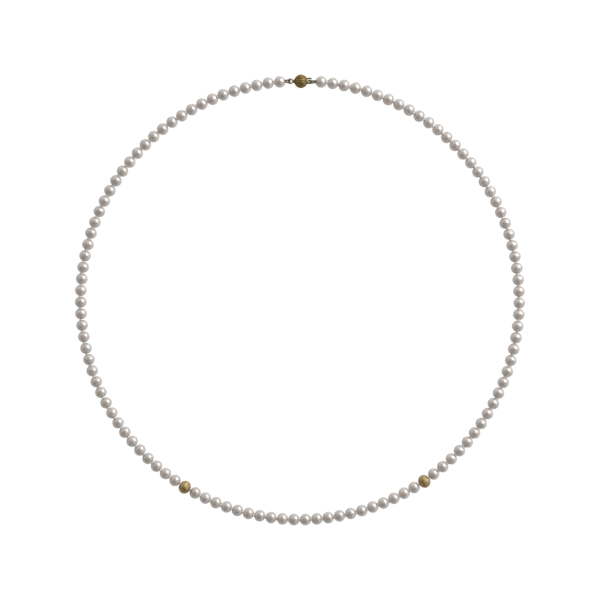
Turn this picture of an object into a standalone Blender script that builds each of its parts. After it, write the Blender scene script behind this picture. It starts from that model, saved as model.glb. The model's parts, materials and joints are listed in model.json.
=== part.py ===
"""A 45 cm strand of small white pearls with two gold beads and a ball clasp, lying closed in a
circle. Metres, +Z up, resting on z = 0, the circle's centre over the origin and the clasp at +Y.

The strand is a chain of rigid links. A link is a run of three pearls, joined by the silk knots
between them, and each link turns against the next about an upright axis in the gap between
their end pearls. Every link's origin is on the axis that joins it to the link nearer the front.
Angles along the strand are measured from -Y (the front), positive towards +X (the right)."""

import math

import bmesh
import bpy
from mathutils import Matrix, Vector

MM = 0.001

# Strand
STRAND_RADIUS = 71.7 * MM  # circle through the pearls' centres: 45 cm round
FRONT_TURN = math.radians(1.4)  # the worn front lies this far round from -Y
SIDE_PITCH = 3.808 * MM  # pearl to pearl along both sides
FRONT_PITCH = 3.747 * MM  # and between the two gold beads
BEAD_PITCH = 3.87 * MM  # pearl to gold bead
FRONT_PEARLS = 21
RIGHT_PEARLS = 46
LEFT_PEARLS = 47
LINK_PEARLS = 3
LINK_BOW = 0.16 * MM  # how far out a straight link's ends stand, so that its pearls average the circle

# Pearls: a little wider than long, drilled through
PEARL_WIDTH = 3.86 * MM
PEARL_LENGTH = 3.68 * MM
KNOT_RADIUS = 0.55 * MM
PEARL_BORE_RADIUS = 0.35 * MM
PEARL_SIDES = 10
THREAD_RADIUS = 0.20 * MM

# Gold beads: hollow shells
GOLD_WIDTH = 4.34 * MM
GOLD_LENGTH = 3.90 * MM
GOLD_WALL = 0.25 * MM
GOLD_BORE_RADIUS = 0.50 * MM
GOLD_SIDES = 14

# Clasp, about the ball's centre with local +X along its own axis towards the tongue's eyelet
BALL_RADIUS = 2.20 * MM
BALL_WALL = 0.30 * MM
BALL_SIDES = 20
SEAM_GAP = 0.02 * MM
MOUTH_RADIUS = 1.15 * MM
BOSS_RADIUS = 0.65 * MM
BOSS_END = 2.42 * MM
SHANK_HOLE_RADIUS = 0.32 * MM
FIT_GAP = 0.03 * MM
PLATE_SLOT_Y = 0.60 * MM  # half sizes of the slot the tongue goes through
PLATE_SLOT_Z = 0.80 * MM
STRIP = 0.20 * MM  # thickness of the tongue's strip
STRIP_HALF_WIDTH = 0.66 * MM
BLADE_Y = -0.40 * MM  # outer face of the tongue's fixed blade
FOLD_X = -1.20 * MM
SPRING_OPEN_Y = 0.36 * MM  # outer face of the spring leaf at the mouth
TAB_X = 1.93 * MM
TAB_Y = 1.00 * MM  # the thumb tab rises to here, then folds outwards over the eye
TAB_TIP_X = 3.38 * MM
TAB_LIP = 0.10 * MM
END_PLATE_X = 2.20 * MM
END_PLATE_RADIUS = 0.66 * MM
EYE_WIRE_RADIUS = 0.16 * MM
TONGUE_EYE_HALF_WIDTH = 0.52 * MM
TONGUE_EYE_REACH = 3.60 * MM
TONGUE_EYE_Y = -0.22 * MM  # the tongue's eye hangs off the clasp's own axis, clear of the tab
BALL_EYE_HALF_WIDTH = 0.78 * MM
BALL_EYE_REACH = 4.25 * MM
BALL_EYE_FOOT_RADIUS = 0.45 * MM
CLASP_RADIUS = 71.55 * MM  # how far the ball's centre stands from the strand's centre
CLASP_X = 0.30 * MM

# French wire: the coiled sleeve that guards the thread where it loops through each eyelet
GIMP_RADIUS = 0.22 * MM
GIMP_BEND_RADIUS = 0.52 * MM
GIMP_TILT_LEFT = math.radians(40)  # how steeply each U stands in its eye
GIMP_TILT_RIGHT = math.radians(53)
GIMP_END = 4.90 * MM  # how far from the ball's centre each sleeve's ends stand

PEARL_Z = PEARL_WIDTH / 2
GOLD_Z = GOLD_WIDTH / 2
BALL_Z = BALL_RADIUS


def step_angle(pitch):
    """The turn along the strand between two beads whose centres are a pitch apart."""
    return 2 * math.asin(pitch / (2 * STRAND_RADIUS))


SIDE_STEP = step_angle(SIDE_PITCH)
FRONT_STEP = step_angle(FRONT_PITCH)
BEAD_STEP = step_angle(BEAD_PITCH)
BEAD_ANGLE = (FRONT_PEARLS - 1) / 2 * FRONT_STEP + BEAD_STEP
SIDE_START_ANGLE = BEAD_ANGLE + BEAD_STEP


def on_strand(angle, radius, z):
    """The point at an angle along the strand."""
    turned = angle + FRONT_TURN
    return Vector((radius * math.sin(turned), -radius * math.cos(turned), z))


def link_plan(side):
    """The links of one side (1 right, -1 left), from the front outwards: name, pearls, pitch and
    the angles where the link begins and ends. The front's middle link is the chain's root."""
    gap = (BEAD_PITCH - PEARL_LENGTH / 2 - GOLD_LENGTH / 2) / 2
    past_bead = (GOLD_LENGTH / 2 + gap) / STRAND_RADIUS
    half_link = LINK_PEARLS * FRONT_STEP / 2
    middle = (FRONT_PEARLS // LINK_PEARLS + 1) // 2
    links = []
    start = half_link
    for k in range(1, middle):
        last = k == middle - 1
        end = BEAD_ANGLE - past_bead if last else start + 2 * half_link
        links.append((f"pearls_front_{middle - side * k}", LINK_PEARLS, FRONT_PITCH, start, end))
        start = end
    start = BEAD_ANGLE + past_bead
    left_over = RIGHT_PEARLS if side > 0 else LEFT_PEARLS
    name = "pearls_right" if side > 0 else "pearls_left"
    number = math.ceil(left_over / LINK_PEARLS)
    placed = 0
    while left_over:
        count = min(LINK_PEARLS, left_over)
        placed += count
        left_over -= count
        end = SIDE_START_ANGLE + (placed - 0.5) * SIDE_STEP
        links.append((f"{name}_{number:02d}", count, SIDE_PITCH, start, end))
        start = end
        number -= 1
    return links


def material(name, colour, roughness, metallic):
    made = bpy.data.materials.new(name)
    made.use_nodes = True
    shader = made.node_tree.nodes["Principled BSDF"]
    shader.inputs["Base Color"].default_value = (*colour, 1)
    shader.inputs["Roughness"].default_value = roughness
    shader.inputs["Metallic"].default_value = metallic
    return made


def pearl_material(name):
    return material(name, (0.83, 0.80, 0.76), 0.22, 0.0)


def gold_material(name):
    return material(name, (0.62, 0.49, 0.28), 0.38, 1.0)


def add_object(name, bm, look, place, smooth=math.radians(50)):
    """A named object from a bmesh, with its own material, standing at the matrix place."""
    mesh = bpy.data.meshes.new(name)
    bmesh.ops.recalc_face_normals(bm, faces=bm.faces)
    bm.to_mesh(mesh)
    bm.free()
    mesh.shade_smooth()
    mesh.set_sharp_from_angle(angle=smooth)
    mesh.materials.append(look)
    made = bpy.data.objects.new(name, mesh)
    made.matrix_world = place
    bpy.context.collection.objects.link(made)
    return made


def facing(point, direction):
    """The matrix that puts local +X along a level direction, at a point."""
    return Matrix.Translation(point) @ Matrix.Rotation(math.atan2(direction.y, direction.x), 4, "Z")


def turned_ring(profile, sides, start=-math.pi / 2, sweep=2 * math.pi):
    """A closed profile of (x, radius) points turned about local X. A full turn makes a ring
    with one vertex of every circle straight below; a part turn is capped at both ends."""
    bm = bmesh.new()
    full = math.isclose(sweep, 2 * math.pi)
    stations = sides if full else sides + 1
    rings = []
    for x, radius in profile:
        ring = []
        for k in range(stations):
            a = start + sweep * k / sides
            ring.append(bm.verts.new((x, radius * math.cos(a), radius * math.sin(a))))
        rings.append(ring)
    for here, there in zip(rings, rings[1:] + rings[:1]):
        for k in range(sides):
            n = (k + 1) % stations
            bm.faces.new((here[k], there[k], there[n], here[n]))
    if not full:
        bm.faces.new([ring[0] for ring in rings])
        bm.faces.new([ring[-1] for ring in reversed(rings)])
    return bm


def arc(centre_x, half_length, half_width, radius_from, radius_to, segments):
    """Points of an ellipse from its left flank at one radius over the top to the right flank."""
    begin = math.asin(radius_from / half_width)
    end = math.pi - math.asin(radius_to / half_width)
    points = []
    for k in range(segments + 1):
        t = begin + (end - begin) * k / segments
        points.append((centre_x - half_length * math.cos(t), half_width * math.sin(t)))
    return points


def pearl_run(name, count, pitch, start, direction):
    """Pearls in a straight run with their knots, bored for the thread, from the axis at start."""
    profile = []
    for k in range(count):
        left = PEARL_BORE_RADIUS if k == 0 else KNOT_RADIUS
        right = PEARL_BORE_RADIUS if k == count - 1 else KNOT_RADIUS
        centre = (k + 0.5) * pitch
        profile += arc(centre, PEARL_LENGTH / 2, PEARL_WIDTH / 2, left, right, 4)
    run = turned_ring(profile, PEARL_SIDES)
    return add_object(name, run, pearl_material(name), facing(start, direction))


def gold_bead(name, angle, side):
    """A hollow bead, open where the thread passes."""
    half = GOLD_LENGTH / 2
    outer = arc(0, half, GOLD_WIDTH / 2, GOLD_BORE_RADIUS, GOLD_BORE_RADIUS, 8)
    inner = arc(0, half - GOLD_WALL, GOLD_WIDTH / 2 - GOLD_WALL, GOLD_BORE_RADIUS, GOLD_BORE_RADIUS, 6)
    shell = turned_ring(outer + inner[::-1], GOLD_SIDES)
    centre = on_strand(side * angle, STRAND_RADIUS + LINK_BOW * 0.8, GOLD_Z)
    along = on_strand(side * angle + math.pi / 2, 1, 0)
    return add_object(name, shell, gold_material(name), facing(centre, along * side))


def make_strand():
    """The root link in the middle of the front, then both sides outwards to the clasp."""
    ring = STRAND_RADIUS + LINK_BOW
    middle = (FRONT_PEARLS // LINK_PEARLS + 1) // 2
    half = LINK_PEARLS * FRONT_STEP / 2
    begin = on_strand(-half, ring, PEARL_Z)
    finish = on_strand(half, ring, PEARL_Z)
    pearl_run(f"pearls_front_{middle}", LINK_PEARLS, FRONT_PITCH, begin, finish - begin)
    for side in (1, -1):
        for name, count, pitch, start, end in link_plan(side):
            begin = on_strand(side * start, ring, PEARL_Z)
            finish = on_strand(side * end, ring, PEARL_Z)
            pearl_run(name, count, pitch, begin, finish - begin)
    gold_bead("gold_bead_right", BEAD_ANGLE, 1)
    gold_bead("gold_bead_left", BEAD_ANGLE, -1)


def tube(points, radius, sides, closed=False):
    """A capped tube of one radius along points in order. The cross-section keeps a flat on top."""
    bm = bmesh.new()
    rings = []
    last = len(points) - 1
    for i, point in enumerate(points):
        before = points[max(i - 1, 0)]
        after = points[min(i + 1, last)]
        along = (after - before).normalized()
        across = along.cross(Vector((0, 0, 1)))
        if across.length < 1e-3:
            across = Vector((0, 1, 0))
        across.normalize()
        up = across.cross(along).normalized()
        bend = 1.0
        if 0 < i < last:
            turn = (point - before).angle(after - point)
            bend = 1 / math.cos(turn / 2)
        ring = []
        for k in range(sides):
            a = 2 * math.pi * (k + 0.5) / sides
            ring.append(bm.verts.new(point + radius * (bend * math.cos(a) * across + math.sin(a) * up)))
        rings.append(ring)
    for here, there in zip(rings, rings[1:]):
        for k in range(sides):
            n = (k + 1) % sides
            bm.faces.new((here[k], here[n], there[n], there[k]))
    bm.faces.new(rings[0][::-1])
    bm.faces.new(rings[-1])
    return bm


def make_thread():
    """One silk thread through every bore, straight in each link and bent at the axes between."""
    ring = STRAND_RADIUS + LINK_BOW
    points = []
    for side in (-1, 1):
        stops = [LINK_PEARLS * FRONT_STEP / 2]
        for *_, start, end in link_plan(side):
            if start > stops[-1]:
                stops.append(start)
            stops.append(end)
        stops[-1] = stops[-1] - SIDE_STEP / 2 + (PEARL_LENGTH / 2 + FIT_GAP) / STRAND_RADIUS
        half = [on_strand(side * stop, ring, PEARL_Z) for stop in stops]
        points += half[::-1] if side < 0 else half
    thread = tube(points, THREAD_RADIUS, 6)
    add_object("silk_thread", thread, material("silk_thread", (0.86, 0.84, 0.79), 0.7, 0.0), Matrix())


def prism(outline, low_z, high_z):
    """A solid with an XY outline between two heights."""
    bm = bmesh.new()
    floor = [bm.verts.new((x, y, low_z)) for x, y in outline]
    roof = [bm.verts.new((x, y, high_z)) for x, y in outline]
    bm.faces.new(floor[::-1])
    bm.faces.new(roof)
    count = len(outline)
    for k in range(count):
        n = (k + 1) % count
        bm.faces.new((floor[k], floor[n], roof[n], roof[k]))
    return bm


def clasp_place():
    return Matrix.Translation((CLASP_X, CLASP_RADIUS, BALL_Z))


def make_ball_half(name, start):
    """Half the ball's shell: a boss with the shank's hole at -X, a round mouth at +X."""
    inside = BALL_RADIUS - BALL_WALL
    outer = arc(0, BALL_RADIUS, BALL_RADIUS, BOSS_RADIUS, MOUTH_RADIUS + 0.12 * MM, 8)
    lip_x = outer[-1][0] + 0.08 * MM
    profile = [(-BOSS_END, SHANK_HOLE_RADIUS), (-BOSS_END, BOSS_RADIUS)]
    profile += outer
    profile += [(lip_x, MOUTH_RADIUS + 0.10 * MM), (lip_x, MOUTH_RADIUS)]
    profile += arc(0, inside, inside, SHANK_HOLE_RADIUS, MOUTH_RADIUS, 6)[::-1]
    half = turned_ring(profile, BALL_SIDES // 2, start, math.pi)
    move = SEAM_GAP / 2 if start < 0 else -SEAM_GAP / 2
    bmesh.ops.translate(half, verts=half.verts, vec=(0, move, 0))
    add_object(name, half, gold_material(name), clasp_place(), math.radians(30))


def make_catch_plate():
    """A disc set in the ball's mouth, with the slot that the tongue goes through."""
    bm = bmesh.new()
    low, high = 1.54 * MM, 1.84 * MM
    radius = MOUTH_RADIUS - FIT_GAP
    sides = 16
    corners = [(PLATE_SLOT_Y, PLATE_SLOT_Z), (-PLATE_SLOT_Y, PLATE_SLOT_Z)]
    corners += [(-PLATE_SLOT_Y, -PLATE_SLOT_Z), (PLATE_SLOT_Y, -PLATE_SLOT_Z)]
    slot_angles = [math.atan2(z, y) % (2 * math.pi) for y, z in corners]
    angles = sorted({round(2 * math.pi * k / sides, 9) for k in range(sides)} | set(slot_angles))
    rings = []
    for x in (low, high):
        rim, slot = [], []
        for a in angles:
            y, z = math.cos(a), math.sin(a)
            reach = min(PLATE_SLOT_Y / max(abs(y), 1e-9), PLATE_SLOT_Z / max(abs(z), 1e-9))
            rim.append(bm.verts.new((x, radius * y, radius * z)))
            slot.append(bm.verts.new((x, reach * y, reach * z)))
        rings += [rim, slot]
    order = (rings[0], rings[2], rings[3], rings[1])
    for here, there in zip(order, order[1:] + order[:1]):
        for k in range(len(angles)):
            n = (k + 1) % len(angles)
            bm.faces.new((here[k], here[n], there[n], there[k]))
    add_object("catch_plate", bm, gold_material("catch_plate"), clasp_place())


def eyelet_points(side, base_x, reach, half_width, centre_y, depth, foot):
    """The centre line of a wire eye that stands off the clasp's end in the level plane: a half
    ellipse whose depth, like the spread of its feet, is a share of its half width."""
    apex = reach - EYE_WIRE_RADIUS
    bow_x = apex - half_width * depth
    points = [Vector((side * base_x, centre_y - half_width * foot, 0))]
    for k in range(11):
        a = -math.pi / 2 + math.pi * k / 10
        x = bow_x + (apex - bow_x) * math.cos(a)
        points.append(Vector((side * x, centre_y + half_width * math.sin(a), 0)))
    points.append(Vector((side * base_x, centre_y + half_width * foot, 0)))
    return points


def make_eyelets():
    """Each eye is a wire bow. The ball's, a teardrop, stands on a foot with a shank through the boss."""
    ball_base = BOSS_END + FIT_GAP + 0.10 * MM
    bow_line = eyelet_points(-1, ball_base, BALL_EYE_REACH, BALL_EYE_HALF_WIDTH, 0, 0.73, 0.26)
    bow = tube(bow_line, EYE_WIRE_RADIUS, 8)
    foot = turned_solid(
        [(-BOSS_END - FIT_GAP - 0.2 * MM, BALL_EYE_FOOT_RADIUS), (-BOSS_END - FIT_GAP, BALL_EYE_FOOT_RADIUS)]
        + [(-BOSS_END - FIT_GAP, 0.26 * MM), (-BOSS_END + 0.55 * MM, 0.26 * MM)],
        12,
    )
    add_union("ball_eyelet", bow, foot, clasp_place())
    tongue_base = END_PLATE_X + STRIP + FIT_GAP
    bow_line = eyelet_points(
        1, tongue_base, TONGUE_EYE_REACH, TONGUE_EYE_HALF_WIDTH, TONGUE_EYE_Y, 0.9, 0.8
    )
    bow = tube(bow_line, EYE_WIRE_RADIUS, 8)
    add_object("tongue_eyelet", bow, gold_material("tongue_eyelet"), clasp_place())


def turned_solid(profile, sides):
    """A solid turned about X from an open profile of (x, radius) points, capped at both ends."""
    bm = bmesh.new()
    rings = []
    for x, radius in profile:
        ring = []
        for k in range(sides):
            a = 2 * math.pi * (k + 0.5) / sides
            ring.append(bm.verts.new((x, radius * math.cos(a), radius * math.sin(a))))
        rings.append(ring)
    for here, there in zip(rings, rings[1:]):
        for k in range(sides):
            n = (k + 1) % sides
            bm.faces.new((here[k], here[n], there[n], there[k]))
    bm.faces.new(rings[0][::-1])
    bm.faces.new(rings[-1])
    return bm


def add_union(name, first, second, place):
    """One object from two overlapping solids, joined by a Boolean union."""
    made = add_object(name, first, gold_material(name), place)
    other = add_object(name + "_foot", second, gold_material(name + "_foot"), place)
    other.hide_render = True
    other.display_type = "WIRE"
    join = made.modifiers.new("join foot", "BOOLEAN")
    join.operation = "UNION"
    join.object = other


def make_tongue():
    """The folded strip: a fixed blade, the spring leaf that folds back over it and ends in a
    thumb tab outside the mouth, folded outwards, and the end plate that the eye stands on."""
    width = STRIP_HALF_WIDTH
    fold_back = FOLD_X - STRIP
    blade = [(fold_back, BLADE_Y), (END_PLATE_X - FIT_GAP, BLADE_Y), (END_PLATE_X - FIT_GAP, BLADE_Y + STRIP)]
    blade += [(FOLD_X, BLADE_Y + STRIP), (FOLD_X, BLADE_Y + 2 * STRIP), (fold_back, BLADE_Y + 2 * STRIP)]
    blade_solid = prism(blade, -width, width)
    add_object("tongue_blade", blade_solid, gold_material("tongue_blade"), clasp_place())

    hinge = Vector((FOLD_X + FIT_GAP, BLADE_Y + 1.5 * STRIP + FIT_GAP, 0))
    low = BLADE_Y + STRIP + FIT_GAP
    high = SPRING_OPEN_Y - STRIP
    leaf = [(FOLD_X + FIT_GAP, low), (FOLD_X + 0.4 * MM, low), (TAB_X, high), (TAB_X + STRIP, high)]
    leaf += [(TAB_X + STRIP, TAB_Y - STRIP), (TAB_TIP_X - STRIP, TAB_Y - STRIP)]
    leaf += [(TAB_TIP_X - STRIP, TAB_Y - STRIP - TAB_LIP), (TAB_TIP_X, TAB_Y - STRIP - TAB_LIP)]
    leaf += [(TAB_TIP_X, TAB_Y), (TAB_X, TAB_Y), (TAB_X, SPRING_OPEN_Y)]
    leaf += [(FOLD_X + 0.4 * MM, low + STRIP), (FOLD_X + FIT_GAP, low + STRIP)]
    leaf = [(x - hinge.x, y - hinge.y) for x, y in leaf]
    leaf_solid = prism(leaf, -width + FIT_GAP, width - FIT_GAP)
    place = clasp_place() @ Matrix.Translation(hinge)
    add_object("tongue_spring", leaf_solid, gold_material("tongue_spring"), place)

    plate_profile = [(END_PLATE_X, END_PLATE_RADIUS), (END_PLATE_X + STRIP, END_PLATE_RADIUS)]
    plate = turned_solid(plate_profile, 16)
    bmesh.ops.translate(plate, verts=plate.verts, vec=(0, TONGUE_EYE_Y, 0))
    add_object("tongue_end_plate", plate, gold_material("tongue_end_plate"), clasp_place())


def make_gimp(name, side, eye_reach, eye_y, tilt):
    """A U of French wire through an eye, both legs running to the end pearl."""
    bend_x = eye_reach - EYE_WIRE_RADIUS
    across = Vector((0, math.cos(tilt), math.sin(tilt)))
    legs = []
    for leg in (-1, 1):
        offset = leg * GIMP_BEND_RADIUS * across
        ends = [Vector((side * GIMP_END, 0, 0)), Vector((side * (GIMP_END + bend_x) / 2, eye_y, 0))]
        legs.append([end + offset for end in ends])
    bend = []
    for k in range(9):
        a = -math.pi / 2 + math.pi * k / 8
        centre = Vector((side * (bend_x - GIMP_BEND_RADIUS * math.cos(a)), eye_y, 0))
        bend.append(centre + GIMP_BEND_RADIUS * math.sin(a) * across)
    route = legs[0] + bend + legs[1][::-1]
    sleeve = tube(route, GIMP_RADIUS, 8)
    add_object(name, sleeve, gold_material(name), clasp_place())


def make_clasp():
    make_ball_half("ball_half_rear", -math.pi / 2)
    make_ball_half("ball_half_front", math.pi / 2)
    make_catch_plate()
    make_eyelets()
    make_tongue()
    make_gimp("gimp_right", 1, TONGUE_EYE_REACH, TONGUE_EYE_Y, GIMP_TILT_RIGHT)
    make_gimp("gimp_left", -1, BALL_EYE_REACH, 0, GIMP_TILT_LEFT)


def main():
    for old in list(bpy.data.objects):
        bpy.data.objects.remove(old, do_unlink=True)
    make_strand()
    make_thread()
    make_clasp()


main()
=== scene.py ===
"""The looks of the pearl necklace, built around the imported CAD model.

Every pearl is a piece of its own, and so is each CAD link's length of thread with its knots. They
ride on the link that holds them. Metres, in the CAD's own frame. Along each bead, local X is its
drill hole."""

import json
import math
import random

import bpy
from mathutils import Matrix, Vector, noise

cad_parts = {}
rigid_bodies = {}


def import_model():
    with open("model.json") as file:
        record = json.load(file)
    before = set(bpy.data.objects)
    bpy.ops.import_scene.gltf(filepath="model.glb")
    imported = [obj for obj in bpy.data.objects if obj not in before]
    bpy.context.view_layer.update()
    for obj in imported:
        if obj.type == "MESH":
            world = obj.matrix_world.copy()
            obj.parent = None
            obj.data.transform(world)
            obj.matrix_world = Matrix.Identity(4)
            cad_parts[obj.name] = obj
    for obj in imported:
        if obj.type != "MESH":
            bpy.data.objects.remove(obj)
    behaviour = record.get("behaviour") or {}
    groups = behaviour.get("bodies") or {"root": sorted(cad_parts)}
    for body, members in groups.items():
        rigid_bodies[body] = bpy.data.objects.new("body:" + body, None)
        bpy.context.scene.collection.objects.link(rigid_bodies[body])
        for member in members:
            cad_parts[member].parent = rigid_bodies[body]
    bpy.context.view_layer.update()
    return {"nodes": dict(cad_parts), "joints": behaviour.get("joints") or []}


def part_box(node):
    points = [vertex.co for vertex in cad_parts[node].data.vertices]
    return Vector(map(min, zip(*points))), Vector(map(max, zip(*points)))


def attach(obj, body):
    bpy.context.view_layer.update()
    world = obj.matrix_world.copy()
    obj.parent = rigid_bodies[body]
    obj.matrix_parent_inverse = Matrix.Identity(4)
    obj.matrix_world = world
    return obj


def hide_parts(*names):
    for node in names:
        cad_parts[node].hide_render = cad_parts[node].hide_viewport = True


MM = 0.001

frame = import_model()
JOINT_TO = {joint["child"]: joint for joint in frame["joints"]}

# Strand
STRAND_RADIUS = 71.7 * MM
PEARL_WIDTH = 3.86 * MM
PEARL_LENGTH = 3.68 * MM
BORE_RADIUS = 0.30 * MM
THREAD_OFFSET = 0.085 * MM  # from the thread's middle to a ply's
PLY_RADIUS = 0.10 * MM
PLY_TWIST = 1.15 * MM  # length of one turn
KNOT_LOOP = 0.195 * MM
KNOT_DEPTH = 0.11 * MM
KNOT_THREAD = 0.13 * MM
GOLD_WIDTH = 4.34 * MM
GOLD_LENGTH = 3.90 * MM
GOLD_WALL = 0.25 * MM
GOLD_HOLE = 0.50 * MM

# Clasp, about the ball's centre, local +X towards the tongue's eye
BALL_RADIUS = 2.20 * MM
BALL_WALL = 0.30 * MM
BOSS_RADIUS = 0.65 * MM
BOSS_END = 2.42 * MM
SHANK_HOLE = 0.32 * MM
SHANK_RADIUS = 0.26 * MM
MOUTH_RADIUS = 1.15 * MM
SEAM_GAP = 0.02 * MM
FLUTES_PER_HALF = 9
FLUTE_SIDES = 16
FLUTE_DEPTH = 0.095 * MM
STRIP = 0.20 * MM
EYE_WIRE = 0.21 * MM
EYE_APEX = 0.16 * MM  # from an eye's reach to the middle of its wire
# Each eye in millimetres: base is where its feet stand, reach its far end in CAD, half_width and y
# its bow's. The bow is depth times half_width deep, and the feet are foot times as far apart.
BALL_EYE = {
    "base": 2.55, "reach": 4.25, "half_width": 0.75, "y": 0.0, "depth": 0.73, "foot": 0.26
}
TONGUE_EYE = {
    "base": 2.38, "reach": 3.60, "half_width": 0.50, "y": -0.22, "depth": 0.9, "foot": 0.8
}
GIMP_BEND = 0.52 * MM
GIMP_END = 4.75 * MM
COIL_RADIUS = 0.200 * MM
COIL_WIRE = 0.075 * MM
COIL_PITCH = 0.155 * MM
CORE_RADIUS = 0.085 * MM
COIL_SIDES = 12  # points to a turn


# ---------------------------------------------------------------- meshes


def new_object(name, verts, faces, material, place=None):
    mesh = bpy.data.meshes.new(name)
    mesh.from_pydata([tuple(v) for v in verts], [], faces)
    mesh.validate()
    mesh.update()
    mesh.shade_smooth()
    mesh.materials.append(material)
    made = bpy.data.objects.new(name, mesh)
    if place is not None:
        made.matrix_world = place
    bpy.context.scene.collection.objects.link(made)
    return made


def turned(profile, sides, start=0.0, sweep=2 * math.pi, shape=None):
    """Vertices and faces of a closed profile of (x, radius) points turned about local X. A part
    turn is capped at both ends. shape(x, radius, angle) may change a point's radius."""
    full = sweep == 2 * math.pi
    stations = sides if full else sides + 1
    verts, faces = [], []
    for x, radius in profile:
        for k in range(stations):
            a = start + sweep * k / sides
            r = shape(x, radius, a) if shape else radius
            verts.append(Vector((x, r * math.cos(a), r * math.sin(a))))
    rows = len(profile)
    for i in range(rows):
        j = (i + 1) % rows
        for k in range(sides):
            n = (k + 1) % stations
            a, b = i * stations, j * stations
            faces.append((a + k, b + k, b + n, a + n))
    if not full:
        faces.append([i * stations for i in range(rows)])
        faces.append([i * stations + stations - 1 for i in reversed(range(rows))])
    return verts, faces


def arc(half_length, half_width, from_radius, to_radius, segments):
    """An ellipse's points from its left flank at one radius, over the top, to its right flank."""
    begin = math.asin(from_radius / half_width)
    end = math.pi - math.asin(to_radius / half_width)
    angles = [begin + (end - begin) * k / segments for k in range(segments + 1)]
    return [(-half_length * math.cos(t), half_width * math.sin(t)) for t in angles]


def tube(points, radius, sides, closed=False):
    """Vertices and faces of a round tube along points. radius is a number, or one per point."""
    count = len(points)
    radii = radius if isinstance(radius, list) else [radius] * count
    verts, faces = [], []
    side = None
    first_side = None
    for i, point in enumerate(points):
        before = points[i - 1] if (i or closed) else points[i]
        after = points[(i + 1) % count] if (i < count - 1 or closed) else points[i]
        along = (after - before).normalized()
        if side is None:
            side = along.orthogonal().normalized()
            first_side = side
        side = (side - along * side.dot(along)).normalized()
        up = along.cross(side)
        for k in range(sides):
            a = 2 * math.pi * k / sides
            verts.append(point + radii[i] * (math.cos(a) * side + math.sin(a) * up))
    spans = count if closed else count - 1
    shift = 0
    if closed:
        along = (points[1] - points[-1]).normalized()
        carried = (side - along * side.dot(along)).normalized()
        angle = math.atan2(carried.dot(along.cross(first_side)), carried.dot(first_side))
        shift = round(angle / (2 * math.pi) * sides)
    for i in range(spans):
        j = (i + 1) % count
        move = shift if j == 0 else 0
        for k in range(sides):
            n = (k + 1) % sides
            a, b = i * sides, j * sides
            faces.append((a + k, a + n, b + (n + move) % sides, b + (k + move) % sides))
    if not closed:
        faces.append(list(range(sides))[::-1])
        faces.append([(count - 1) * sides + k for k in range(sides)])
    return verts, faces


def joined(*parts):
    """Several (vertices, faces) as one."""
    verts, faces = [], []
    for some, others in parts:
        start = len(verts)
        verts += some
        faces += [[start + i for i in face] for face in others]
    return verts, faces


def facing(point, direction):
    """A place at point, with local X level along direction."""
    turn = math.atan2(direction.y, direction.x)
    return Matrix.Translation(point) @ Matrix.Rotation(turn, 4, "Z")


def smooth_line(points, steps):
    """A Catmull-Rom line through points."""
    out = []
    padded = [2 * points[0] - points[1], *points, 2 * points[-1] - points[-2]]
    for i in range(1, len(padded) - 2):
        a, b, c, d = padded[i - 1 : i + 3]
        for k in range(steps):
            t = k / steps
            bend = (2 * a - 5 * b + 4 * c - d) * t * t
            twist = (3 * b - a - 3 * c + d) * t * t * t
            out.append(0.5 * (2 * b + (c - a) * t + bend + twist))
    out.append(points[-1].copy())
    return out


def lengths_along(line):
    """How far each point of a line is from its start, along the line."""
    lengths = [0.0]
    for a, b in zip(line, line[1:]):
        lengths.append(lengths[-1] + (b - a).length)
    return lengths


# ---------------------------------------------------------------- materials


class Nodes:
    """A material's node tree, with the few calls that this script repeats."""

    def __init__(self, name):
        self.material = bpy.data.materials.new(name)
        self.material.use_nodes = True
        self.tree = self.material.node_tree
        self.shader = self.tree.nodes["Principled BSDF"]
        self.place = self.add("ShaderNodeTexCoord").outputs["Object"]

    def add(self, kind, **values):
        node = self.tree.nodes.new(kind)
        for key, value in values.items():
            setattr(node, key, value)
        return node

    def link(self, a, b):
        self.tree.links.new(a, b)

    def set(self, **values):
        for key, value in values.items():
            self.shader.inputs[key.replace("_", " ")].default_value = value

    def noise(self, scale, detail=3.0, roughness=0.55, place=None):
        node = self.add("ShaderNodeTexNoise")
        node.inputs["Scale"].default_value = scale
        node.inputs["Detail"].default_value = detail
        node.inputs["Roughness"].default_value = roughness
        self.link(place or self.place, node.inputs["Vector"])
        return node.outputs["Fac"]

    def stretched(self, scale):
        node = self.add("ShaderNodeMapping")
        node.inputs["Scale"].default_value = scale
        self.link(self.place, node.inputs["Vector"])
        return node.outputs["Vector"]

    def ramp(self, value, low, high, to_low=0.0, to_high=1.0):
        node = self.add("ShaderNodeMapRange", interpolation_type="SMOOTHSTEP")
        node.inputs["From Min"].default_value = low
        node.inputs["From Max"].default_value = high
        node.inputs["To Min"].default_value = to_low
        node.inputs["To Max"].default_value = to_high
        self.link(value, node.inputs["Value"])
        return node.outputs["Result"]

    def mix(self, factor, first, second):
        node = self.add("ShaderNodeMix", data_type="RGBA")
        self.link(factor, node.inputs["Factor"])
        for socket, value in ((node.inputs[6], first), (node.inputs[7], second)):
            if isinstance(value, tuple):
                socket.default_value = (*value, 1)
            else:
                self.link(value, socket)
        return node.outputs[2]

    def bump(self, height, distance, strength=1.0, under=None):
        node = self.add("ShaderNodeBump")
        node.inputs["Distance"].default_value = distance
        node.inputs["Strength"].default_value = strength
        self.link(height, node.inputs["Height"])
        if under:
            self.link(under, node.inputs["Normal"])
        return node.outputs["Normal"]

    def feed(self, **values):
        for key, value in values.items():
            self.link(value, self.shader.inputs[key.replace("_", " ")])


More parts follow.
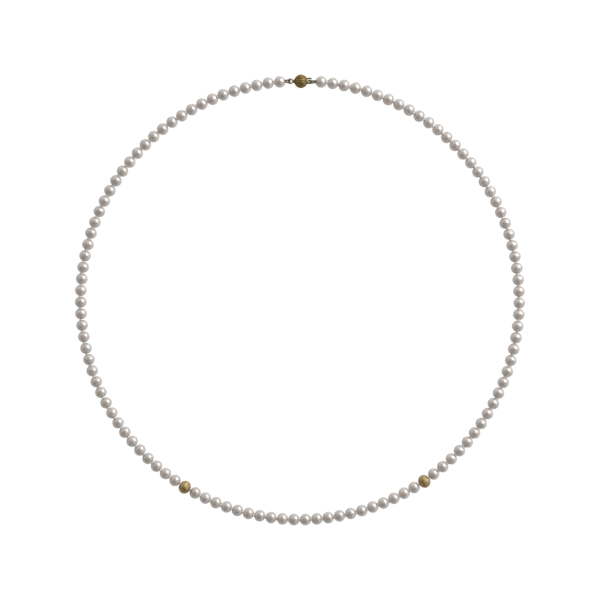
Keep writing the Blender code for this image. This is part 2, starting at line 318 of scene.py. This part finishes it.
def pearl_material():
    """Nacre: a warm body colour that drifts a little over each pearl and from pearl to pearl, and
    a soft coat over it that takes the light."""
    m = Nodes("nacre")
    own = m.add("ShaderNodeAttribute", attribute_name="tint").outputs["Color"]
    drift = m.ramp(m.noise(420.0, 2.0), 0.35, 0.65)
    body = m.mix(drift, (0.402, 0.329, 0.277), (0.466, 0.392, 0.345))
    tint = m.add("ShaderNodeMix", data_type="RGBA", blend_type="MULTIPLY")
    tint.inputs["Factor"].default_value = 1.0
    m.link(body, tint.inputs[6])
    m.link(own, tint.inputs[7])
    rough = m.ramp(m.noise(900.0, 4.0), 0.3, 0.7, 0.12, 0.18)
    swell = m.bump(m.noise(700.0, 2.0), 0.00006, 0.35)
    skin = m.bump(m.noise(9000.0, 4.0, 0.6), 0.000004, 0.12, swell)
    m.feed(Base_Color=tint.outputs[2], Roughness=rough, Normal=skin)
    m.set(Coat_Weight=1.0, Coat_Roughness=0.28, Coat_IOR=2.5, IOR=1.53)
    m.set(Sheen_Weight=0.45, Sheen_Roughness=0.45)
    m.set(Subsurface_Weight=0.25, Subsurface_Scale=0.0008, Subsurface_Radius=(1.0, 1.0, 1.0))
    m.set(Specular_IOR_Level=0.6)
    return m.material


def silk_material():
    """Pale silk, with fine streaks."""
    m = Nodes("silk")
    fibre = m.noise(6000.0, 3.0, 0.6, m.stretched((0.25, 1.0, 1.0)))
    colour = m.mix(m.ramp(fibre, 0.3, 0.7), (0.94, 0.93, 0.91), (0.99, 0.985, 0.975))
    m.feed(Base_Color=colour, Normal=m.bump(fibre, 0.00002, 0.8))
    m.set(Roughness=0.75, Sheen_Weight=0.8, Sheen_Roughness=0.5)
    m.set(Subsurface_Weight=0.4, Subsurface_Scale=0.0003, Subsurface_Radius=(1.0, 1.0, 1.0))
    return m.material


def frosted_gold_material():
    """A bead's sand-blasted gold: fine pits, rougher than the grains and painted dark as shade."""
    m = Nodes("gold frosted")
    grain = m.noise(3600.0, 5.0, 0.7)
    patch = m.noise(700.0, 3.0)
    warm = m.mix(m.ramp(patch, 0.35, 0.65), (0.60, 0.42, 0.19), (0.78, 0.61, 0.36))
    # Painted shade: where the grain is low, in the pits, the colour goes near black.
    colour = m.mix(m.ramp(grain, 0.33, 0.58), (0.08, 0.045, 0.012), warm)
    rough = m.ramp(grain, 0.3, 0.7, 0.68, 0.52)
    pits = m.bump(grain, 0.00008, 1.0)
    m.feed(Base_Color=colour, Roughness=rough, Normal=pits)
    m.set(Metallic=1.0, Specular_Tint=(0.22, 0.15, 0.06, 1))
    return m.material


def brushed_gold_material():
    """The ball's gold: fine lines along the flutes with painted shade in their grooves, worn
    brighter in patches.
    """
    m = Nodes("gold brushed")
    lines = m.noise(2600.0, 4.0, 0.65, m.stretched((0.18, 1.0, 1.0)))
    patch = m.noise(800.0, 3.0)
    warm = m.mix(m.ramp(patch, 0.35, 0.65), (0.31, 0.205, 0.075), (0.43, 0.29, 0.12))
    # Painted shade: where the lines are low, in their grooves, the colour goes near black.
    colour = m.mix(m.ramp(lines, 0.3, 0.6), (0.13, 0.08, 0.025), warm)
    rough = m.ramp(lines, 0.3, 0.7, 0.68, 0.46)
    m.feed(Base_Color=colour, Roughness=rough, Normal=m.bump(lines, 0.00003, 0.7))
    m.set(Metallic=1.0, Specular_Tint=(0.62, 0.50, 0.28, 1))
    return m.material


def plain_gold_material(name, dark, light, rough_low, rough_high):
    """The small clasp parts' gold, with faint marks of handling."""
    m = Nodes(name)
    marks = m.noise(5200.0, 5.0, 0.7)
    patch = m.noise(1500.0, 3.0)
    colour = m.mix(m.ramp(patch, 0.35, 0.65), dark, light)
    rough = m.ramp(marks, 0.35, 0.7, rough_low, rough_high)
    m.feed(Base_Color=colour, Roughness=rough, Normal=m.bump(marks, 0.00001, 0.35))
    m.set(Metallic=1.0, Specular_Tint=(0.62, 0.50, 0.28, 1))
    return m.material


NACRE = pearl_material()
SILK = silk_material()
GOLD_FROSTED = frosted_gold_material()
GOLD_BRUSHED = brushed_gold_material()
GOLD_PLAIN = plain_gold_material(
    "gold plain", (0.20, 0.14, 0.05), (0.30, 0.22, 0.095), 0.30, 0.48
)
FRENCH_WIRE = plain_gold_material(
    "french wire", (0.20, 0.14, 0.045), (0.30, 0.225, 0.09), 0.32, 0.5
)


# ---------------------------------------------------------------- pearls


PEARL_SIDES = 48
PEARL_STEPS = 28
# How unevenly the pearls are strung: the most that one sinks and the spread of their sideways
# shift, in millimetres, and the spread of their lean in degrees
SINK, SHIFT, LEAN = 0.012, 0.022, 1.6
KNOT_STEPS = 42
THREAD_SIDES = 7
THREAD_STEPS = 26
# The casts that a pearl may have, each with the share of pearls up to and including it
CASTS = (
    (0.30, (1.0, 0.965, 0.950)),  # rosy
    (0.50, (0.975, 0.985, 0.955)),  # faintly green
    (0.75, (0.985, 0.965, 0.925)),  # cream
    (1.00, (0.975, 0.980, 0.985)),  # silver
)


def pearl(name, place, rng, scale):
    """One pearl, nearly round, with a small rounded mouth at each end of its drill hole."""
    half_length = PEARL_LENGTH / 2 * scale
    half_width = PEARL_WIDTH / 2 * scale
    mouth = BORE_RADIUS + 0.10 * MM
    outside = arc(half_length, half_width, mouth, mouth, PEARL_STEPS)
    end_x = outside[-1][0]
    right = [
        (end_x - 0.03 * MM, BORE_RADIUS + 0.05 * MM),
        (end_x - 0.09 * MM, BORE_RADIUS),
        (end_x * 0.5, BORE_RADIUS),
    ]
    left = [(-x, r) for x, r in reversed(right)]
    profile = outside + right + left
    verts, faces = turned(profile, PEARL_SIDES)
    offset = Vector([rng.uniform(-50, 50) for _ in range(3)])
    uneven = rng.uniform(0.006, 0.013)
    spin = Matrix.Rotation(rng.uniform(0, 2 * math.pi), 3, "X")
    out = []
    for v in verts:
        swell = noise.noise(v / (2.4 * MM) + offset) + 0.35 * noise.noise(v / (1.1 * MM) + offset)
        fade = min(1.0, max(0.0, (v.yz.length - BORE_RADIUS) / MM))
        out.append(spin @ (v * (1 + uneven * swell * fade)))
    made = new_object(name, out, faces, NACRE, place)
    tone = rng.gauss(0, 1)
    hue = rng.random()
    light = 1.0 + 0.03 * max(-2.0, min(2.0, tone))
    cast = next(colour for share, colour in CASTS if hue < share)
    colours = made.data.color_attributes.new("tint", "FLOAT_COLOR", "POINT")
    values = [*(light * part for part in cast), 1.0] * len(made.data.vertices)
    colours.data.foreach_set("color", values)
    return made


def silk_knot(centre, along, rng):
    """An overhand knot, drawn tight and flat between two pearls: a trefoil of thread."""
    ring = []
    turn = rng.uniform(0, 2 * math.pi)
    for k in range(KNOT_STEPS):
        t = 2 * math.pi * k / KNOT_STEPS
        reach = KNOT_LOOP * (2 + math.cos(3 * t))
        a = 2 * t + turn
        depth = KNOT_DEPTH * math.sin(3 * t)
        ring.append(Vector((depth, reach * math.cos(a), reach * math.sin(a))))
    verts, faces = tube(ring, KNOT_THREAD, THREAD_SIDES, closed=True)
    place = facing(centre, along)
    return [place @ v for v in verts], faces


def two_ply(line, rng):
    """Two plies of silk wound round each other along a line."""
    turn = rng.uniform(0, 2 * math.pi)
    plies = []
    lengths = lengths_along(line)
    for ply in (0, 1):
        route = []
        for i, point in enumerate(line):
            along = (line[min(i + 1, len(line) - 1)] - line[max(i - 1, 0)]).normalized()
            side = along.cross(Vector((0, 0, 1))).normalized()
            up = side.cross(along)
            a = turn + math.pi * ply + 2 * math.pi * lengths[i] / PLY_TWIST
            route.append(point + THREAD_OFFSET * (math.cos(a) * side + math.sin(a) * up))
        plies.append(tube(route, PLY_RADIUS, THREAD_SIDES))
    return joined(*plies)


def on_ring(point, radius):
    """The point moved level to a radius from the strand's centre."""
    flat = point.xy.normalized() * radius
    return Vector((flat.x, flat.y, point.z))


def run_of(node):
    """A run's two ends, first the one that its hinge stands at, and how many pearls it holds."""
    low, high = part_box(node)
    centre = (low + high) / 2
    if node in JOINT_TO:
        start = Vector(JOINT_TO[node]["pos_m"])
    else:  # the root link, whose ends are its two neighbours' hinges
        start = next(Vector(j["pos_m"]) for j in frame["joints"] if j["parent"] == node)
    start.z = centre.z
    finish = 2 * centre - start
    count = round((finish - start).length / PEARL_WIDTH)
    return start, finish, count


RUNS = sorted(node for node in frame["nodes"] if node.startswith("pearls_"))
SILK_BY_RUN = {}  # each run's thread, and the knots on it
END_PEARL = {}  # the pearl at each run's far end, and which way the thread leaves it
rng = random.Random(45)
for node in RUNS:
    start, finish, count = run_of(node)
    thread = [start]
    bits = []
    for k in range(count):
        centre = start.lerp(finish, (k + 0.5) / count)
        seated = on_ring(centre, STRAND_RADIUS)
        tangent = Vector((-seated.y, seated.x, 0)).normalized()
        if tangent.dot(finish - start) < 0:
            tangent.negate()
        sink = Vector((0, 0, rng.uniform(-SINK, 0.0) * MM))
        shift = seated.xy.normalized() * rng.gauss(0, SHIFT) * MM
        seated += Vector((shift.x, shift.y, 0)) + sink
        lean = Matrix.Rotation(math.radians(rng.gauss(0, LEAN)), 4, "Z")
        scale = min(1.0, max(0.985, rng.gauss(0.997, 0.004)))
        place = facing(seated, tangent) @ lean
        made = pearl(f"{node}_pearl_{k + 1}", place, rng, scale)
        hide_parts(node)
        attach(made, node)
        thread.append(seated)
        if k < count - 1:
            gap = on_ring(start.lerp(finish, (k + 1) / count), STRAND_RADIUS)
            bits.append(silk_knot(gap, tangent, rng))
    END_PEARL[node] = (seated, tangent)
    thread.append(finish)
    SILK_BY_RUN[node] = (thread, bits)

# A knot stands at each hinge between two links, and rides with the outer one of the two. The root
# link also ties one where it starts, so that gap holds two. Beside a gold bead the thread runs on
# through the bead, and no knot is tied.
GOLD = [name for name in frame["nodes"] if name.startswith("gold_bead_")]


def gold_near(point):
    """The middle of the gold bead that stands beside a point, or None."""
    middles = [(low + high) / 2 for low, high in map(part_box, GOLD)]
    nearest = min(middles, key=lambda middle: (middle - point).length)
    return nearest if (nearest - point).length < GOLD_LENGTH * 0.7 else None


for node, (thread, bits) in SILK_BY_RUN.items():
    start, finish = thread[0], thread[-1]
    if gold_near(start) is None:
        bits.append(silk_knot(start, thread[1] - thread[0], rng))
    middle = gold_near(finish)
    if middle is not None:  # through the bead, to the next link's hinge
        middle.z = finish.z
        thread += [middle, 2 * middle - finish]
    line = smooth_line(thread, THREAD_STEPS)
    verts, faces = joined(two_ply(line, rng), *bits)
    made = new_object(node.replace("pearls", "silk"), verts, faces, SILK)
    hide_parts("silk_thread")
    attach(made, node)


# ---------------------------------------------------------------- gold beads


GOLD_SIDES = 144
GOLD_STEPS = 72


def gold_bead(node):
    """A hollow bead, drilled through, whose outside is grained and slightly dented."""
    low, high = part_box(node)
    centre = (low + high) / 2
    axis = Vector(JOINT_TO[node]["axis"])
    half_length, half_width = GOLD_LENGTH / 2, GOLD_WIDTH / 2
    lip = GOLD_HOLE + 0.05 * MM
    outside = arc(half_length, half_width, lip, lip, GOLD_STEPS)
    x = outside[-1][0]
    right = [(x - 0.04 * MM, GOLD_HOLE), (x - GOLD_WALL, GOLD_HOLE)]
    inside = arc(half_length - GOLD_WALL, half_width - GOLD_WALL, GOLD_HOLE, GOLD_HOLE, 20)
    profile = outside + right + inside[::-1] + [(-a, b) for a, b in reversed(right)]
    verts, faces = turned(profile, GOLD_SIDES)
    shell = len(outside) * GOLD_SIDES
    out = []
    for i, v in enumerate(verts):
        if i < shell:
            grain = noise.noise(v / (0.16 * MM)) * 0.6 + noise.noise(v / (0.34 * MM)) * 0.8
            dent = noise.noise(v / (1.1 * MM))
            v = v * (1 + (0.011 * grain + 0.006 * dent - 0.009))
        out.append(v)
    name = node.replace("gold_bead", "frosted_bead")
    made = new_object(name, out, faces, GOLD_FROSTED, facing(centre, axis))
    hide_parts(node)
    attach(made, node)


for gold_node in GOLD:
    gold_bead(gold_node)


# ---------------------------------------------------------------- clasp


ball_low, ball_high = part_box("ball_half_rear")
BALL_CENTRE = Vector(
    (ball_low.x + BOSS_END, ball_low.y - SEAM_GAP / 2, (ball_low.z + ball_high.z) / 2)
)
CLASP = Matrix.Translation(BALL_CENTRE)


def ball_half(node, start):
    """Half the fluted shell, from its boss over the crown to the lip of its mouth."""
    rim = MOUTH_RADIUS + 0.10 * MM
    crown = arc(BALL_RADIUS, BALL_RADIUS, BOSS_RADIUS, rim, 60)
    lip_x = crown[-1][0] + 0.08 * MM
    boss = [
        (-BOSS_END, SHANK_HOLE),
        (-BOSS_END, BOSS_RADIUS - 0.06 * MM),
        (-BOSS_END + 0.05 * MM, BOSS_RADIUS),
        (crown[0][0] - 0.05 * MM, BOSS_RADIUS),
    ]
    lip = [
        (lip_x - 0.05 * MM, rim),
        (lip_x, MOUTH_RADIUS + 0.05 * MM),
        (lip_x, MOUTH_RADIUS),
    ]
    inner = BALL_RADIUS - BALL_WALL
    inside = arc(inner, inner, SHANK_HOLE, MOUTH_RADIUS, 18)[::-1]
    profile = boss + crown + lip + inside

    def fluted(x, radius, a):
        if math.hypot(x, radius) < BALL_RADIUS - 0.02 * MM or radius < BOSS_RADIUS + 0.001 * MM:
            return radius
        if radius < MOUTH_RADIUS + 0.12 * MM and x > 0:
            return radius
        groove = 1 - abs(math.sin(FLUTES_PER_HALF * (a - math.pi / 2))) ** 0.55
        return radius - FLUTE_DEPTH * groove * (radius / BALL_RADIUS) ** 0.5

    verts, faces = turned(profile, FLUTES_PER_HALF * FLUTE_SIDES, start, math.pi, fluted)
    shell = len(verts)
    if start < 0:  # the lap that the other half's edges close over
        bore, lap = inner - 0.10 * MM, inner + 0.01 * MM
        strip = arc(lap, lap, SHANK_HOLE + 0.1 * MM, MOUTH_RADIUS, 18)
        strip += arc(bore, bore, SHANK_HOLE + 0.1 * MM, MOUTH_RADIUS, 18)[::-1]
        for edge in (start, start + math.pi):
            verts, faces = joined((verts, faces), turned(strip, 6, edge - 0.09, 0.18))
    out = []
    for v in verts[:shell]:
        if v.length > BALL_RADIUS - 0.12 * MM and v.x > -BALL_RADIUS:
            hammered = noise.noise(Vector((v.x * 0.6, v.y, v.z)) / (0.28 * MM))
            v = v * (1 + 0.004 * hammered)
        out.append(v)
    out += verts[shell:]
    move = SEAM_GAP / 2 if start < 0 else -SEAM_GAP / 2
    place = CLASP @ Matrix.Translation((0, move, 0))
    made = new_object(node.replace("ball_half", "ball_shell"), out, faces, GOLD_BRUSHED, place)
    made.data.set_sharp_from_angle(angle=math.radians(50))
    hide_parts(node)
    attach(made, "clasp_ball")


ball_half("ball_half_rear", -math.pi / 2)
ball_half("ball_half_front", math.pi / 2)


def eye_bow(side, eye):
    """A D-shaped bow of round wire that stands off the clasp's end, with solder at each foot."""
    apex = eye["reach"] * MM - EYE_APEX
    width = eye["half_width"] * MM
    middle = eye["y"] * MM
    base = eye["base"] * MM
    bow_x = apex - width * eye["depth"]
    bow = []
    for k in range(21):
        a = -math.pi / 2 + math.pi * k / 20
        x = bow_x + (apex - bow_x) * math.cos(a)
        bow.append(Vector((side * x, middle + width * math.sin(a), 0)))

    def leg(sign):
        points = []
        for share in (0.33, 0.67, 1.0):
            x = bow_x + (base - bow_x) * share
            spread = 1 + (eye["foot"] - 1) * share * share * (1.6 - 0.6 * share)
            points.append(Vector((side * x, middle + sign * width * spread, 0)))
        return points

    line = smooth_line(leg(-1)[::-1] + bow + leg(1), 3)
    radii = []
    for point in line:
        stand = abs(point.x) - base
        radii.append(EYE_WIRE * (1 + 0.45 * math.exp(-((stand / (0.12 * MM)) ** 2))))
    return tube(line, radii, 18)


def rounded_disc(x_from, x_to, radius, edge, centre_y=0.0):
    """A disc about local X with rounded rims."""
    steps = 5
    core = 0.004 * MM
    rim = []
    for k in range(steps + 1):
        a = math.pi / 2 * k / steps
        rim.append((x_to - edge + edge * math.sin(a), radius - edge + edge * math.cos(a)))
    rim = rim[::-1]
    back = [(x_from + (x_to - x), r) for x, r in reversed(rim)]
    profile = [(x_to, core), *rim, *back, (x_from, core)]
    verts, faces = turned(profile, 48)
    return [v + Vector((0, centre_y, 0)) for v in verts], faces


def clasp_piece(name, shape, material, body, node):
    """A shape about the ball's centre, which stands for one CAD node."""
    made = new_object(name, *shape, material, CLASP)
    made.data.set_sharp_from_angle(angle=math.radians(40))
    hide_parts(node)
    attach(made, body)


def plain_piece(name, shape, body, node):
    clasp_piece(name, shape, GOLD_PLAIN, body, node)


# The ball's eye stands on a washer, and its shank runs through the boss into the ball.
washer = rounded_disc(-(BOSS_END + 0.23 * MM), -(BOSS_END + 0.03 * MM), 0.45 * MM, 0.07 * MM)
shank_start, shank_end = -BOSS_END - 0.04 * MM, -BOSS_END + 0.55 * MM
shank = turned(
    [
        (shank_start, 0.002 * MM),
        (shank_start, SHANK_RADIUS),
        (shank_end, SHANK_RADIUS),
        (shank_end, 0.002 * MM),
    ],
    24,
)
plain_piece(
    "ball_eye", joined(eye_bow(-1, BALL_EYE), washer, shank), "clasp_ball", "ball_eyelet"
)
plain_piece("tongue_eye", eye_bow(1, TONGUE_EYE), "clasp_tongue", "tongue_eyelet")
end_plate = rounded_disc(2.24 * MM, 2.44 * MM, 0.66 * MM, 0.05 * MM, TONGUE_EYE["y"] * MM)
collar = rounded_disc(1.90 * MM, 2.28 * MM, 0.46 * MM, 0.04 * MM, -0.50 * MM)
plain_piece("tongue_plate", joined(end_plate, collar), "clasp_tongue", "tongue_end_plate")


# The leaf is thicker where it shows: past each x in millimetres, by this much of its thickness.
THICKER_PAST = ((1.90, 0.6), (2.10, 0.5))


def strip(line, half_width, thickness):
    """A bent strip of sheet metal along a line in the clasp's XY plane, with eased edges. The line
    runs along the middle of the metal."""
    ease = 0.04 * MM
    section = [
        (half_width, thickness / 2 - ease),
        (half_width - ease, thickness / 2),
        (-half_width + ease, thickness / 2),
        (-half_width, thickness / 2 - ease),
        (-half_width, -thickness / 2 + ease),
        (-half_width + ease, -thickness / 2),
        (half_width - ease, -thickness / 2),
        (half_width, -thickness / 2 + ease),
    ]
    verts, faces = [], []
    last = len(line) - 1
    for i, point in enumerate(line):
        along = (line[min(i + 1, last)] - line[max(i - 1, 0)]).normalized()
        normal = Vector((-along.y, along.x, 0))
        thicker = 1.0
        for x, more in THICKER_PAST:
            thicker += more * min(1.0, max(0.0, (point.x / MM - x) / 0.12))
        for z, out in section:
            verts.append(point + normal * out * thicker + Vector((0, 0, z)))
    n = len(section)
    for i in range(last):
        for k in range(n):
            m = (k + 1) % n
            faces.append((i * n + k, i * n + m, (i + 1) * n + m, (i + 1) * n + k))
    faces.append(list(range(n))[::-1])
    faces.append([last * n + k for k in range(n)])
    return verts, faces


def rounded_line(corners, radius):
    """A line through corners in millimetres, each inner corner replaced by an arc."""
    points = [Vector((x * MM, y * MM, 0)) for x, y in corners]
    out = [points[0]]
    for before, corner, after in zip(points, points[1:], points[2:]):
        a = (before - corner).normalized()
        b = (after - corner).normalized()
        reach = min(radius * MM, (before - corner).length * 0.45, (after - corner).length * 0.45)
        for k in range(7):
            t = k / 6
            p, q, r = corner + a * reach, corner, corner + b * reach
            out.append(p * (1 - t) ** 2 + q * 2 * t * (1 - t) + r * t * t)
    out.append(points[-1])
    return out


# The spring leaf from its fold to the mouth, up beside the ball, and out over the eye to a hook.
leaf_line = [(-1.17, -0.07), (-0.80, -0.06), (1.85, 0.25), (2.04, 0.28)]
leaf_line += [(2.04, 0.93), (3.32, 0.93), (3.32, 0.67)]
leaf = strip(rounded_line(leaf_line, 0.16), 0.63 * MM, STRIP)
plain_piece("spring_leaf", leaf, "tongue_spring", "tongue_spring")

# The blade and the catch plate are CAD's own, with a bevel and a material.
for cad_name in ("tongue_blade", "catch_plate"):
    cad = frame["nodes"][cad_name]
    cad.data.materials.clear()
    cad.data.materials.append(GOLD_PLAIN)
    bevel = cad.modifiers.new("eased edges", "BEVEL")
    bevel.width = 0.03 * MM
    bevel.segments = 2
    bevel.limit_method = "ANGLE"
    bevel.angle_limit = math.radians(40)


def gimp(node, side, eye, tilt, body):
    """French wire: a close coil of fine wire that runs from the end pearl, round the eye's wire
    and back to the pearl."""
    pearl_at, tangent = END_PEARL[body]
    mouth = pearl_at + tangent * (PEARL_LENGTH / 2 - 0.10 * MM) - BALL_CENTRE
    across = Vector((0, math.cos(tilt), math.sin(tilt)))
    bend_x = eye["reach"] * MM - EYE_APEX
    eye_y = eye["y"] * MM
    line = []
    middle_x = (GIMP_END + bend_x) / 2
    for leg in (-1, 1):
        run = [
            mouth + leg * across * 0.20 * MM,
            Vector((side * GIMP_END, (mouth.y + eye_y) / 2, 0)) + leg * across * 0.36 * MM,
            Vector((side * middle_x, eye_y, 0)) + leg * across * 0.43 * MM,
        ]
        if leg < 0:
            line += run
            for k in range(13):
                a = -math.pi / 2 + math.pi * k / 12
                centre = Vector((side * (bend_x - GIMP_BEND * math.cos(a)), eye_y, 0))
                line.append(centre + GIMP_BEND * math.sin(a) * across)
        else:
            line += run[::-1]
    line = smooth_line(line, 12)
    lengths = lengths_along(line)
    turns = int(lengths[-1] / COIL_PITCH)
    steps = turns * COIL_SIDES
    route = []
    at = 0
    normal = None
    for k in range(steps + 1):
        reach = lengths[-1] * k / steps
        while at < len(lengths) - 2 and lengths[at + 1] < reach:
            at += 1
        t = (reach - lengths[at]) / max(lengths[at + 1] - lengths[at], 1e-9)
        point = line[at].lerp(line[at + 1], t)
        along = (line[at + 1] - line[at]).normalized()
        if normal is None:
            normal = along.orthogonal()
        normal = (normal - along * normal.dot(along)).normalized()
        other = along.cross(normal)
        a = 2 * math.pi * k / COIL_SIDES
        route.append(point + COIL_RADIUS * (math.cos(a) * normal + math.sin(a) * other))
    coil = tube(route, COIL_WIRE, 6)
    core = tube(line, CORE_RADIUS, 8)
    name = node.replace("gimp", "french_wire")
    clasp_piece(name, coil, FRENCH_WIRE, body, node)
    inner = new_object(node.replace("gimp", "clasp_thread"), *core, SILK, CLASP)
    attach(inner, body)


gimp("gimp_left", -1, BALL_EYE, math.radians(40), "pearls_left_01")
gimp("gimp_right", 1, TONGUE_EYE, math.radians(53), "pearls_right_01")


# ---------------------------------------------------------------- floor, light, camera


def floor():
    """A white light table: it glows softly, and still takes a faint contact shadow. It glows less
    in the gold's and the pearls' reflections than it does to the camera."""
    half, below = 3.0, -0.02 * MM
    verts = [Vector((x * half, y * half, below)) for x, y in ((-1, -1), (1, -1), (1, 1), (-1, 1))]
    m = Nodes("light table")
    ray = m.add("ShaderNodeLightPath")
    seen = ray.outputs["Is Camera Ray"]
    mirrored = ray.outputs["Is Glossy Ray"]
    glow = m.add("ShaderNodeMath", operation="MAXIMUM")
    m.link(m.ramp(seen, 0.0, 1.0, 0.0, 0.97), glow.inputs[0])
    m.link(m.ramp(mirrored, 0.0, 1.0, 0.56, 0.20), glow.inputs[1])
    m.feed(Base_Color=m.mix(seen, (0.42, 0.42, 0.42), (0.07, 0.07, 0.07)))
    m.set(Roughness=0.9, Specular_IOR_Level=0.0)
    m.shader.inputs["Emission Color"].default_value = (1, 1, 1, 1)
    m.link(glow.outputs[0], m.shader.inputs["Emission Strength"])
    made = new_object("light_table", verts, [(0, 1, 2, 3)], m.material)


def world():
    """A pale studio: bright round the horizon, dim overhead and towards the front left."""
    made = bpy.data.worlds.new("studio")
    made.use_nodes = True
    tree = made.node_tree
    background = tree.nodes["Background"]
    direction = tree.nodes.new("ShaderNodeTexCoord").outputs["Generated"]
    towards = tree.nodes.new("ShaderNodeVectorMath")
    towards.operation = "DOT_PRODUCT"
    towards.inputs[1].default_value = (-0.20, -0.36, 0.911)
    ramp = tree.nodes.new("ShaderNodeValToRGB")
    tree.links.new(direction, towards.inputs[0])
    tree.links.new(towards.outputs["Value"], ramp.inputs["Fac"])
    seen = tree.nodes.new("ShaderNodeLightPath").outputs["Is Camera Ray"]
    mix = tree.nodes.new("ShaderNodeMix")
    mix.data_type = "RGBA"
    tree.links.new(seen, mix.inputs["Factor"])
    tree.links.new(ramp.outputs["Color"], mix.inputs[6])
    mix.inputs[7].default_value = (0.98, 0.98, 0.98, 1)
    tree.links.new(mix.outputs[2], background.inputs["Color"])
    stops = ((0.0, 0.92), (0.32, 0.76), (0.60, 0.41), (0.85, 0.15), (1.0, 0.08))
    elements = ramp.color_ramp.elements
    while len(elements) < len(stops):
        elements.new(0.5)
    for element, (where, grey) in zip(elements, stops):
        element.position = where
        cool = 0.14 * grey - 0.07
        element.color = (grey * (1 - cool), grey, grey * (1 + cool), 1)
    bpy.context.scene.world = made


def softbox(name, direction, distance, size, energy, colour, mirrored=True):
    """A round light that faces the origin. One that isn't mirrored shows in no reflection."""
    light = bpy.data.lights.new(name, "AREA")
    light.shape = "DISK"
    light.size = size
    light.energy = energy
    light.color = colour
    made = bpy.data.objects.new(name, light)
    away = Vector(direction).normalized()
    turn = away.to_track_quat("Z", "Y").to_matrix().to_4x4()
    made.matrix_world = Matrix.Translation(away * distance) @ turn
    made.visible_camera = False
    made.visible_glossy = mirrored
    bpy.context.scene.collection.objects.link(made)


def camera():
    """Straight above the loop, looking down, from far off."""
    lens = bpy.data.cameras.new("camera")
    lens.lens = 180
    lens.sensor_width = 36
    lens.clip_start = 0.01
    lens.clip_end = 20
    made = bpy.data.objects.new("camera", lens)
    made.location = (0.0, 0.05 * MM, 0.9829)
    bpy.context.scene.collection.objects.link(made)
    bpy.context.scene.camera = made


floor()
world()
softbox("key", (0.64, 0.50, 0.584), 0.8, 0.90, 5.7, (0.86, 0.94, 1.0))
softbox("fill", (0.1, 0.15, 0.98), 0.8, 0.90, 2.1, (0.97, 0.98, 1.0), False)
camera()
bpy.context.scene.view_settings.view_transform = "Standard"
